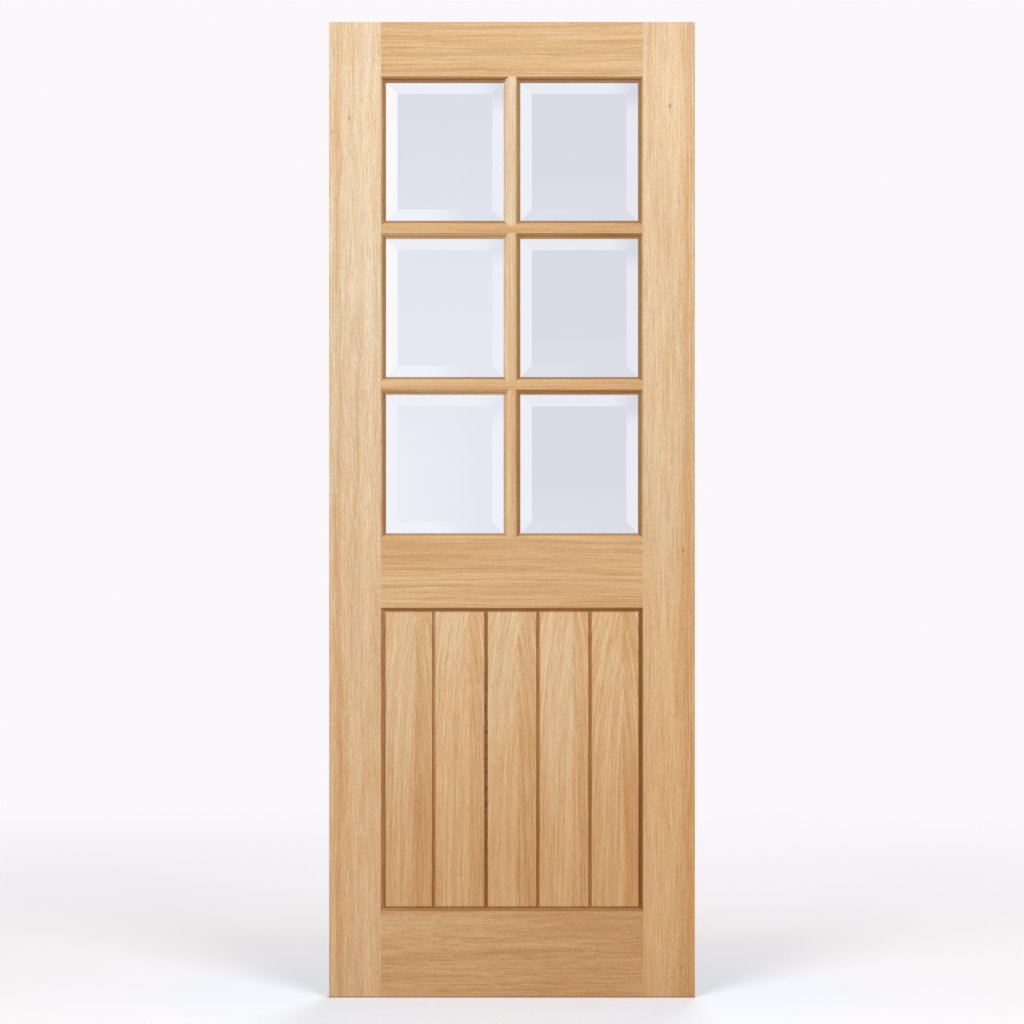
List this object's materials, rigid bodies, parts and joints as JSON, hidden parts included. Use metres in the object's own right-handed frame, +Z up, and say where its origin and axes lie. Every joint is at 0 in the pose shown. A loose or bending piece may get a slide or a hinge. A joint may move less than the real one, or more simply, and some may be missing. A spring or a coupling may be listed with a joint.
{
  "type": "glazed interior door leaf",
  "caption": "Oak interior door leaf with bevelled glass between glazing bars above a mid rail and V-jointed upright boards below.",
  "frame": {"origin": "middle of the bottom edge, halfway through the leaf's thickness", "axes": "+Z up the leaf, +X to the right seen from the front, +Y from the front face to the beaded back face"},
  "size_m": [0.762, 0.035, 2.032],
  "materials": {
    "oak_frame": "clear matt lacquer on sanded oak, grain along each member",
    "oak_board": "clear matt lacquer on crown-cut oak, grain upright",
    "oak_bead": "clear matt lacquer on moulded oak",
    "beech_joint": "plain beech, planed tenons and turned dowels",
    "clear_glass": "clear polished glass with a polished bevel",
    "glazing_tape": "matt closed-cell foam tape"
  },
  "bodies": {
    "root": {"board_1": "oak_board", "board_2": "oak_board", "board_3": "oak_board", "board_4": "oak_board", "board_5": "oak_board", "bottom_rail": "oak_frame", "bottom_rail_tenons": "beech_joint", "glazing_bar_dowels": "beech_joint", "left_stile": "oak_frame", "lower_cross_bar": "oak_frame", "lower_left_bead_bottom": "oak_bead", "lower_left_bead_left": "oak_bead", "lower_left_bead_right": "oak_bead", "lower_left_bead_top": "oak_bead", "lower_left_pane": "clear_glass", "lower_left_tape": "glazing_tape", "lower_right_bead_bottom": "oak_bead", "lower_right_bead_left": "oak_bead", "lower_right_bead_right": "oak_bead", "lower_right_bead_top": "oak_bead", "lower_right_pane": "clear_glass", "lower_right_tape": "glazing_tape", "lower_upright_bar": "oak_frame", "mid_rail": "oak_frame", "mid_rail_tenons": "beech_joint", "middle_left_bead_bottom": "oak_bead", "middle_left_bead_left": "oak_bead", "middle_left_bead_right": "oak_bead", "middle_left_bead_top": "oak_bead", "middle_left_pane": "clear_glass", "middle_left_tape": "glazing_tape", "middle_right_bead_bottom": "oak_bead", "middle_right_bead_left": "oak_bead", "middle_right_bead_right": "oak_bead", "middle_right_bead_top": "oak_bead", "middle_right_pane": "clear_glass", "middle_right_tape": "glazing_tape", "middle_upright_bar": "oak_frame", "right_stile": "oak_frame", "top_rail": "oak_frame", "top_rail_tenons": "beech_joint", "upper_cross_bar": "oak_frame", "upper_left_bead_bottom": "oak_bead", "upper_left_bead_left": "oak_bead", "upper_left_bead_right": "oak_bead", "upper_left_bead_top": "oak_bead", "upper_left_pane": "clear_glass", "upper_left_tape": "glazing_tape", "upper_right_bead_bottom": "oak_bead", "upper_right_bead_left": "oak_bead", "upper_right_bead_right": "oak_bead", "upper_right_bead_top": "oak_bead", "upper_right_pane": "clear_glass", "upper_right_tape": "glazing_tape", "upper_upright_bar": "oak_frame"}
  },
  "joints": []
}
